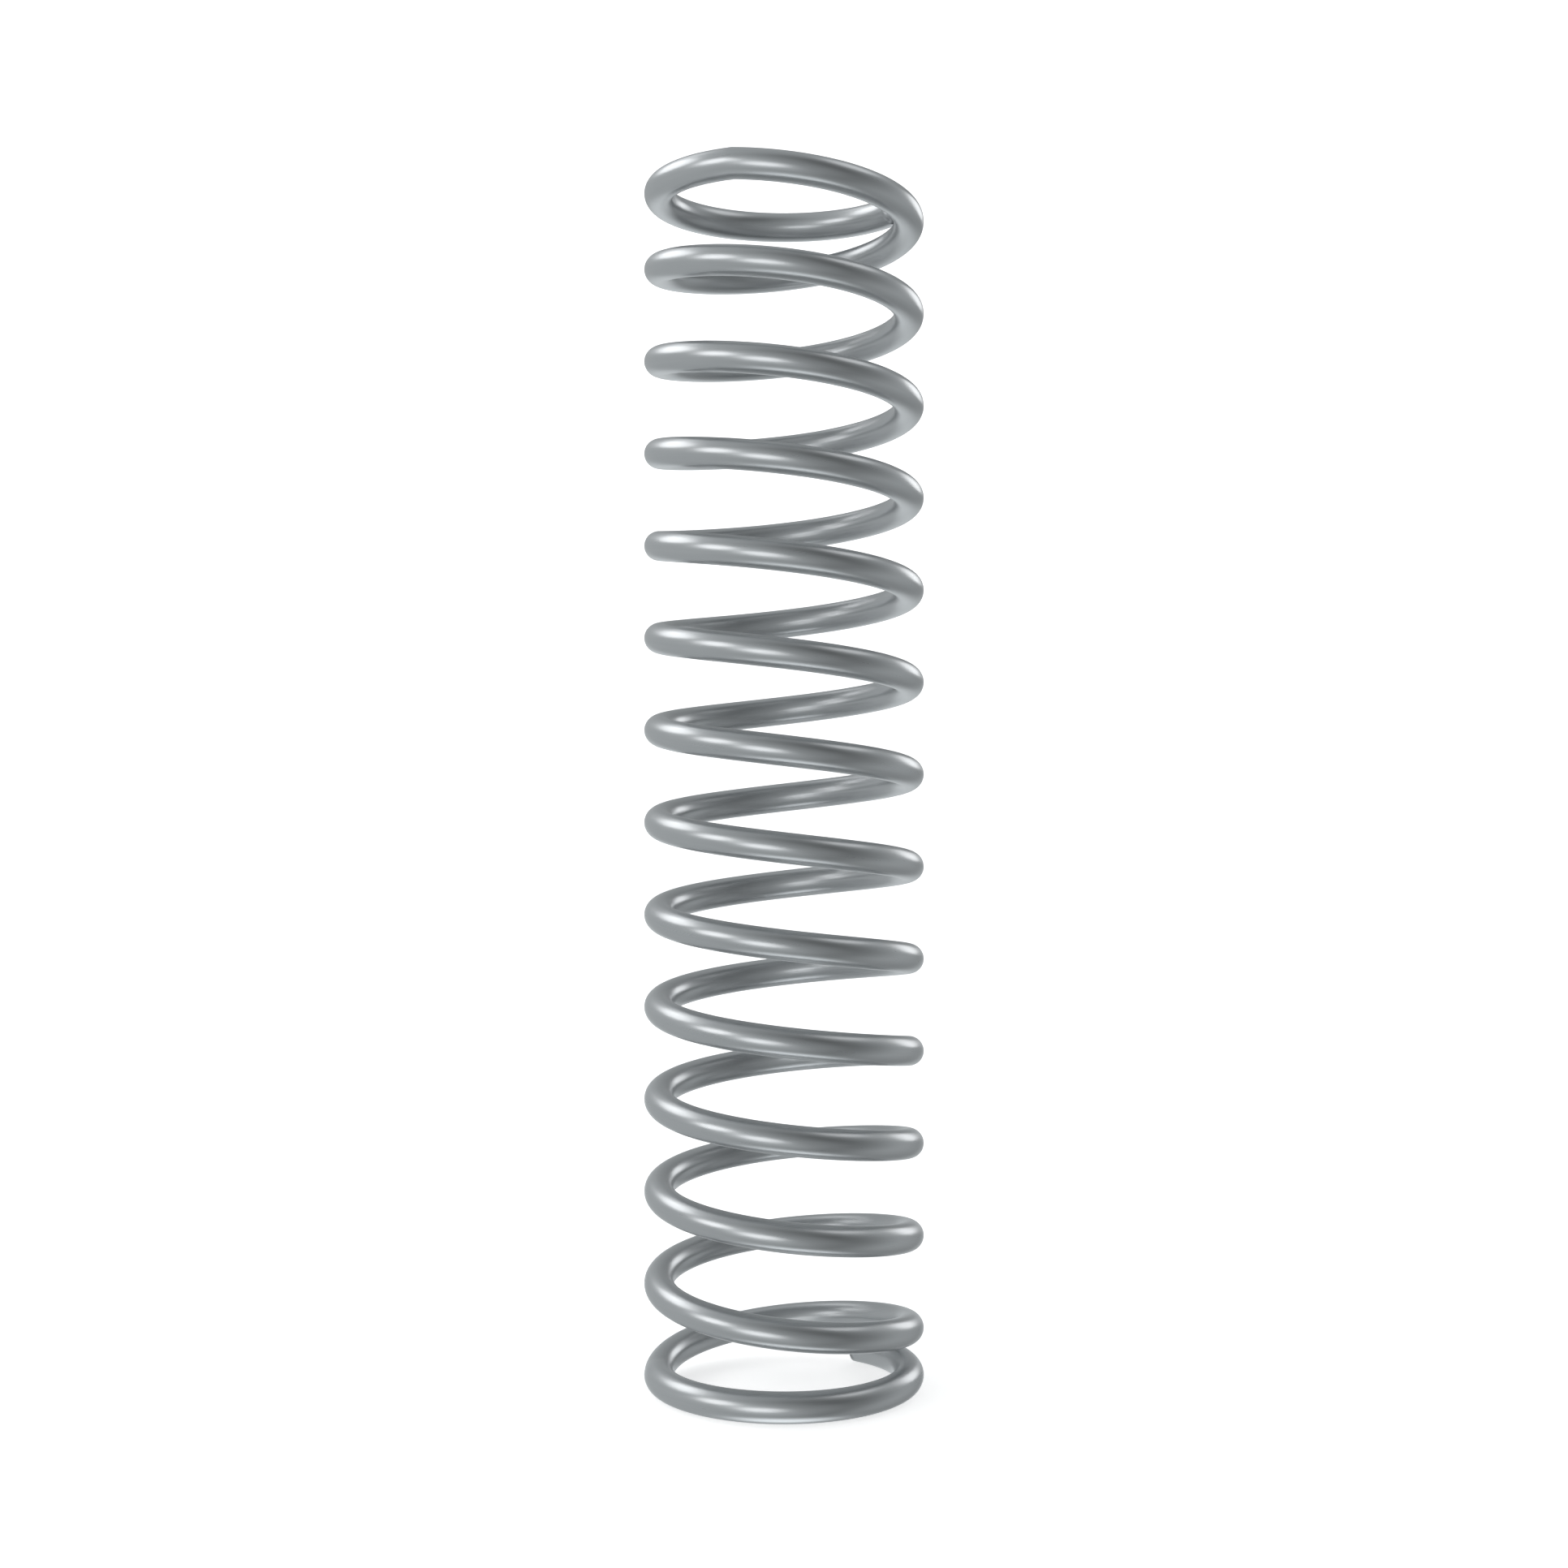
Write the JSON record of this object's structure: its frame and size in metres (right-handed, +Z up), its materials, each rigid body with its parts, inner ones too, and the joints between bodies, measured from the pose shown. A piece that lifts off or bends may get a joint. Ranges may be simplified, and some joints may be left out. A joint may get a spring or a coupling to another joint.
{
  "type": "helical compression spring",
  "caption": "Left-hand helical compression spring of round steel wire, with closed, unground end coils. It stands on end and presses down nearly solid.",
  "frame": {"origin": "on the coil axis, in the plane that the bottom end coil stands on", "axes": "+Z up along the coil axis, +Y to the side on which both wire ends lie (the back), +X to the right"},
  "size_m": [0.0186, 0.0186, 0.0808],
  "materials": {
    "spring_steel": "cold-drawn bright wire, satin, with fine draw lines along the wire"
  },
  "bodies": {
    "base": {"bottom_end_coil": "spring_steel", "bottom_closing_arc": "spring_steel", "coil_01_right": "spring_steel"},
    "coil_01_front": {"coil_01_front": "spring_steel"},
    "coil_01_left": {"coil_01_left": "spring_steel"},
    "coil_01_back": {"coil_01_back": "spring_steel"},
    "coil_02_right": {"coil_02_right": "spring_steel"},
    "coil_02_front": {"coil_02_front": "spring_steel"},
    "coil_02_left": {"coil_02_left": "spring_steel"},
    "coil_02_back": {"coil_02_back": "spring_steel"},
    "coil_03_right": {"coil_03_right": "spring_steel"},
    "coil_03_front": {"coil_03_front": "spring_steel"},
    "coil_03_left": {"coil_03_left": "spring_steel"},
    "coil_03_back": {"coil_03_back": "spring_steel"},
    "coil_04_right": {"coil_04_right": "spring_steel"},
    "coil_04_front": {"coil_04_front": "spring_steel"},
    "coil_04_left": {"coil_04_left": "spring_steel"},
    "coil_04_back": {"coil_04_back": "spring_steel"},
    "coil_05_right": {"coil_05_right": "spring_steel"},
    "coil_05_front": {"coil_05_front": "spring_steel"},
    "coil_05_left": {"coil_05_left": "spring_steel"},
    "coil_05_back": {"coil_05_back": "spring_steel"},
    "coil_06_right": {"coil_06_right": "spring_steel"},
    "coil_06_front": {"coil_06_front": "spring_steel"},
    "coil_06_left": {"coil_06_left": "spring_steel"},
    "coil_06_back": {"coil_06_back": "spring_steel"},
    "coil_07_right": {"coil_07_right": "spring_steel"},
    "coil_07_front": {"coil_07_front": "spring_steel"},
    "coil_07_left": {"coil_07_left": "spring_steel"},
    "coil_07_back": {"coil_07_back": "spring_steel"},
    "coil_08_right": {"coil_08_right": "spring_steel"},
    "coil_08_front": {"coil_08_front": "spring_steel"},
    "coil_08_left": {"coil_08_left": "spring_steel"},
    "coil_08_back": {"coil_08_back": "spring_steel"},
    "coil_09_right": {"coil_09_right": "spring_steel"},
    "coil_09_front": {"coil_09_front": "spring_steel"},
    "coil_09_left": {"coil_09_left": "spring_steel"},
    "coil_09_back": {"coil_09_back": "spring_steel"},
    "coil_10_right": {"coil_10_right": "spring_steel"},
    "coil_10_front": {"coil_10_front": "spring_steel"},
    "coil_10_left": {"coil_10_left": "spring_steel"},
    "coil_10_back": {"coil_10_back": "spring_steel"},
    "coil_11_right": {"coil_11_right": "spring_steel"},
    "coil_11_front": {"coil_11_front": "spring_steel"},
    "coil_11_left": {"coil_11_left": "spring_steel"},
    "coil_11_back": {"coil_11_back": "spring_steel"},
    "coil_12_right": {"coil_12_right": "spring_steel"},
    "coil_12_front": {"coil_12_front": "spring_steel"},
    "coil_12_left": {"coil_12_left": "spring_steel"},
    "top": {"coil_12_back": "spring_steel", "top_closing_arc": "spring_steel", "top_end_coil": "spring_steel"}
  },
  "joints": [
    {"name": "compression", "type": "slide", "parent": "base", "child": "top", "axis": [0, 0, 1], "range_m": [-0.047, 0], "stiffness_N_per_m": 2820},
    {"name": "coil_01_front_slide", "type": "slide", "parent": "base", "child": "coil_01_front", "axis": [0, 0, 1], "range_m": [-0.001, 0]},
    {"name": "coil_01_left_slide", "type": "slide", "parent": "base", "child": "coil_01_left", "axis": [0, 0, 1], "range_m": [-0.002, 0]},
    {"name": "coil_01_back_slide", "type": "slide", "parent": "base", "child": "coil_01_back", "axis": [0, 0, 1], "range_m": [-0.003, 0]},
    {"name": "coil_02_right_slide", "type": "slide", "parent": "base", "child": "coil_02_right", "axis": [0, 0, 1], "range_m": [-0.004, 0]},
    {"name": "coil_02_front_slide", "type": "slide", "parent": "base", "child": "coil_02_front", "axis": [0, 0, 1], "range_m": [-0.005, 0]},
    {"name": "coil_02_left_slide", "type": "slide", "parent": "base", "child": "coil_02_left", "axis": [0, 0, 1], "range_m": [-0.006, 0]},
    {"name": "coil_02_back_slide", "type": "slide", "parent": "base", "child": "coil_02_back", "axis": [0, 0, 1], "range_m": [-0.007, 0]},
    {"name": "coil_03_right_slide", "type": "slide", "parent": "base", "child": "coil_03_right", "axis": [0, 0, 1], "range_m": [-0.008, 0]},
    {"name": "coil_03_front_slide", "type": "slide", "parent": "base", "child": "coil_03_front", "axis": [0, 0, 1], "range_m": [-0.009, 0]},
    {"name": "coil_03_left_slide", "type": "slide", "parent": "base", "child": "coil_03_left", "axis": [0, 0, 1], "range_m": [-0.01, 0]},
    {"name": "coil_03_back_slide", "type": "slide", "parent": "base", "child": "coil_03_back", "axis": [0, 0, 1], "range_m": [-0.011, 0]},
    {"name": "coil_04_right_slide", "type": "slide", "parent": "base", "child": "coil_04_right", "axis": [0, 0, 1], "range_m": [-0.012, 0]},
    {"name": "coil_04_front_slide", "type": "slide", "parent": "base", "child": "coil_04_front", "axis": [0, 0, 1], "range_m": [-0.013, 0]},
    {"name": "coil_04_left_slide", "type": "slide", "parent": "base", "child": "coil_04_left", "axis": [0, 0, 1], "range_m": [-0.014, 0]},
    {"name": "coil_04_back_slide", "type": "slide", "parent": "base", "child": "coil_04_back", "axis": [0, 0, 1], "range_m": [-0.015, 0]},
    {"name": "coil_05_right_slide", "type": "slide", "parent": "base", "child": "coil_05_right", "axis": [0, 0, 1], "range_m": [-0.016, 0]},
    {"name": "coil_05_front_slide", "type": "slide", "parent": "base", "child": "coil_05_front", "axis": [0, 0, 1], "range_m": [-0.017, 0]},
    {"name": "coil_05_left_slide", "type": "slide", "parent": "base", "child": "coil_05_left", "axis": [0, 0, 1], "range_m": [-0.018, 0]},
    {"name": "coil_05_back_slide", "type": "slide", "parent": "base", "child": "coil_05_back", "axis": [0, 0, 1], "range_m": [-0.019, 0]},
    {"name": "coil_06_right_slide", "type": "slide", "parent": "base", "child": "coil_06_right", "axis": [0, 0, 1], "range_m": [-0.02, 0]},
    {"name": "coil_06_front_slide", "type": "slide", "parent": "base", "child": "coil_06_front", "axis": [0, 0, 1], "range_m": [-0.021, 0]},
    {"name": "coil_06_left_slide", "type": "slide", "parent": "base", "child": "coil_06_left", "axis": [0, 0, 1], "range_m": [-0.022, 0]},
    {"name": "coil_06_back_slide", "type": "slide", "parent": "base", "child": "coil_06_back", "axis": [0, 0, 1], "range_m": [-0.023, 0]},
    {"name": "coil_07_right_slide", "type": "slide", "parent": "base", "child": "coil_07_right", "axis": [0, 0, 1], "range_m": [-0.024, 0]},
    {"name": "coil_07_front_slide", "type": "slide", "parent": "base", "child": "coil_07_front", "axis": [0, 0, 1], "range_m": [-0.025, 0]},
    {"name": "coil_07_left_slide", "type": "slide", "parent": "base", "child": "coil_07_left", "axis": [0, 0, 1], "range_m": [-0.026, 0]},
    {"name": "coil_07_back_slide", "type": "slide", "parent": "base", "child": "coil_07_back", "axis": [0, 0, 1], "range_m": [-0.027, 0]},
    {"name": "coil_08_right_slide", "type": "slide", "parent": "base", "child": "coil_08_right", "axis": [0, 0, 1], "range_m": [-0.028, 0]},
    {"name": "coil_08_front_slide", "type": "slide", "parent": "base", "child": "coil_08_front", "axis": [0, 0, 1], "range_m": [-0.029, 0]},
    {"name": "coil_08_left_slide", "type": "slide", "parent": "base", "child": "coil_08_left", "axis": [0, 0, 1], "range_m": [-0.03, 0]},
    {"name": "coil_08_back_slide", "type": "slide", "parent": "base", "child": "coil_08_back", "axis": [0, 0, 1], "range_m": [-0.031, 0]},
    {"name": "coil_09_right_slide", "type": "slide", "parent": "base", "child": "coil_09_right", "axis": [0, 0, 1], "range_m": [-0.032, 0]},
    {"name": "coil_09_front_slide", "type": "slide", "parent": "base", "child": "coil_09_front", "axis": [0, 0, 1], "range_m": [-0.033, 0]},
    {"name": "coil_09_left_slide", "type": "slide", "parent": "base", "child": "coil_09_left", "axis": [0, 0, 1], "range_m": [-0.034, 0]},
    {"name": "coil_09_back_slide", "type": "slide", "parent": "base", "child": "coil_09_back", "axis": [0, 0, 1], "range_m": [-0.035, 0]},
    {"name": "coil_10_right_slide", "type": "slide", "parent": "base", "child": "coil_10_right", "axis": [0, 0, 1], "range_m": [-0.036, 0]},
    {"name": "coil_10_front_slide", "type": "slide", "parent": "base", "child": "coil_10_front", "axis": [0, 0, 1], "range_m": [-0.037, 0]},
    {"name": "coil_10_left_slide", "type": "slide", "parent": "base", "child": "coil_10_left", "axis": [0, 0, 1], "range_m": [-0.038, 0]},
    {"name": "coil_10_back_slide", "type": "slide", "parent": "base", "child": "coil_10_back", "axis": [0, 0, 1], "range_m": [-0.039, 0]},
    {"name": "coil_11_right_slide", "type": "slide", "parent": "base", "child": "coil_11_right", "axis": [0, 0, 1], "range_m": [-0.04, 0]},
    {"name": "coil_11_front_slide", "type": "slide", "parent": "base", "child": "coil_11_front", "axis": [0, 0, 1], "range_m": [-0.041, 0]},
    {"name": "coil_11_left_slide", "type": "slide", "parent": "base", "child": "coil_11_left", "axis": [0, 0, 1], "range_m": [-0.042, 0]},
    {"name": "coil_11_back_slide", "type": "slide", "parent": "base", "child": "coil_11_back", "axis": [0, 0, 1], "range_m": [-0.043, 0]},
    {"name": "coil_12_right_slide", "type": "slide", "parent": "base", "child": "coil_12_right", "axis": [0, 0, 1], "range_m": [-0.044, 0]},
    {"name": "coil_12_front_slide", "type": "slide", "parent": "base", "child": "coil_12_front", "axis": [0, 0, 1], "range_m": [-0.045, 0]},
    {"name": "coil_12_left_slide", "type": "slide", "parent": "base", "child": "coil_12_left", "axis": [0, 0, 1], "range_m": [-0.046, 0]}
  ],
  "couplings": [
    {"joint": "coil_01_front_slide", "follows": "compression", "ratio": 0.021277},
    {"joint": "coil_01_left_slide", "follows": "compression", "ratio": 0.042553},
    {"joint": "coil_01_back_slide", "follows": "compression", "ratio": 0.06383},
    {"joint": "coil_02_right_slide", "follows": "compression", "ratio": 0.085106},
    {"joint": "coil_02_front_slide", "follows": "compression", "ratio": 0.10638},
    {"joint": "coil_02_left_slide", "follows": "compression", "ratio": 0.12766},
    {"joint": "coil_02_back_slide", "follows": "compression", "ratio": 0.14894},
    {"joint": "coil_03_right_slide", "follows": "compression", "ratio": 0.17021},
    {"joint": "coil_03_front_slide", "follows": "compression", "ratio": 0.19149},
    {"joint": "coil_03_left_slide", "follows": "compression", "ratio": 0.21277},
    {"joint": "coil_03_back_slide", "follows": "compression", "ratio": 0.23404},
    {"joint": "coil_04_right_slide", "follows": "compression", "ratio": 0.25532},
    {"joint": "coil_04_front_slide", "follows": "compression", "ratio": 0.2766},
    {"joint": "coil_04_left_slide", "follows": "compression", "ratio": 0.29787},
    {"joint": "coil_04_back_slide", "follows": "compression", "ratio": 0.31915},
    {"joint": "coil_05_right_slide", "follows": "compression", "ratio": 0.34043},
    {"joint": "coil_05_front_slide", "follows": "compression", "ratio": 0.3617},
    {"joint": "coil_05_left_slide", "follows": "compression", "ratio": 0.38298},
    {"joint": "coil_05_back_slide", "follows": "compression", "ratio": 0.40426},
    {"joint": "coil_06_right_slide", "follows": "compression", "ratio": 0.42553},
    {"joint": "coil_06_front_slide", "follows": "compression", "ratio": 0.44681},
    {"joint": "coil_06_left_slide", "follows": "compression", "ratio": 0.46809},
    {"joint": "coil_06_back_slide", "follows": "compression", "ratio": 0.48936},
    {"joint": "coil_07_right_slide", "follows": "compression", "ratio": 0.51064},
    {"joint": "coil_07_front_slide", "follows": "compression", "ratio": 0.53191},
    {"joint": "coil_07_left_slide", "follows": "compression", "ratio": 0.55319},
    {"joint": "coil_07_back_slide", "follows": "compression", "ratio": 0.57447},
    {"joint": "coil_08_right_slide", "follows": "compression", "ratio": 0.59574},
    {"joint": "coil_08_front_slide", "follows": "compression", "ratio": 0.61702},
    {"joint": "coil_08_left_slide", "follows": "compression", "ratio": 0.6383},
    {"joint": "coil_08_back_slide", "follows": "compression", "ratio": 0.65957},
    {"joint": "coil_09_right_slide", "follows": "compression", "ratio": 0.68085},
    {"joint": "coil_09_front_slide", "follows": "compression", "ratio": 0.70213},
    {"joint": "coil_09_left_slide", "follows": "compression", "ratio": 0.7234},
    {"joint": "coil_09_back_slide", "follows": "compression", "ratio": 0.74468},
    {"joint": "coil_10_right_slide", "follows": "compression", "ratio": 0.76596},
    {"joint": "coil_10_front_slide", "follows": "compression", "ratio": 0.78723},
    {"joint": "coil_10_left_slide", "follows": "compression", "ratio": 0.80851},
    {"joint": "coil_10_back_slide", "follows": "compression", "ratio": 0.82979},
    {"joint": "coil_11_right_slide", "follows": "compression", "ratio": 0.85106},
    {"joint": "coil_11_front_slide", "follows": "compression", "ratio": 0.87234},
    {"joint": "coil_11_left_slide", "follows": "compression", "ratio": 0.89362},
    {"joint": "coil_11_back_slide", "follows": "compression", "ratio": 0.91489},
    {"joint": "coil_12_right_slide", "follows": "compression", "ratio": 0.93617},
    {"joint": "coil_12_front_slide", "follows": "compression", "ratio": 0.95745},
    {"joint": "coil_12_left_slide", "follows": "compression", "ratio": 0.97872}
  ]
}
